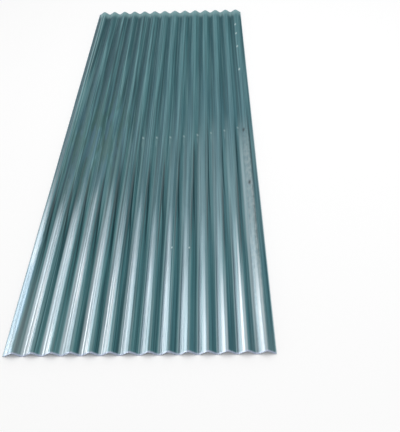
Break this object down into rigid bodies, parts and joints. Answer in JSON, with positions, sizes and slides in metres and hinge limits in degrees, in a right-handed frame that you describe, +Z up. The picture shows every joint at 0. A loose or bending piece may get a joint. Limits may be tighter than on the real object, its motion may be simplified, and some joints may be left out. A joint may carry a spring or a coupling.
{
  "type": "corrugated fiberglass sheet",
  "caption": "Long translucent blue-green corrugated fibreglass roofing sheet with round waves and square-cut edges, lying flat on its valleys.",
  "frame": {"origin": "below the middle of the sheet, on the plane of its valley undersides", "axes": "+Y along the waves and the length, +X across the waves, +Z up through the crests"},
  "size_m": [1.0668, 3.048, 0.021],
  "materials": {
    "laminate": "satin"
  },
  "bodies": {
    "root": {"corrugated_sheet": "laminate"}
  },
  "joints": []
}
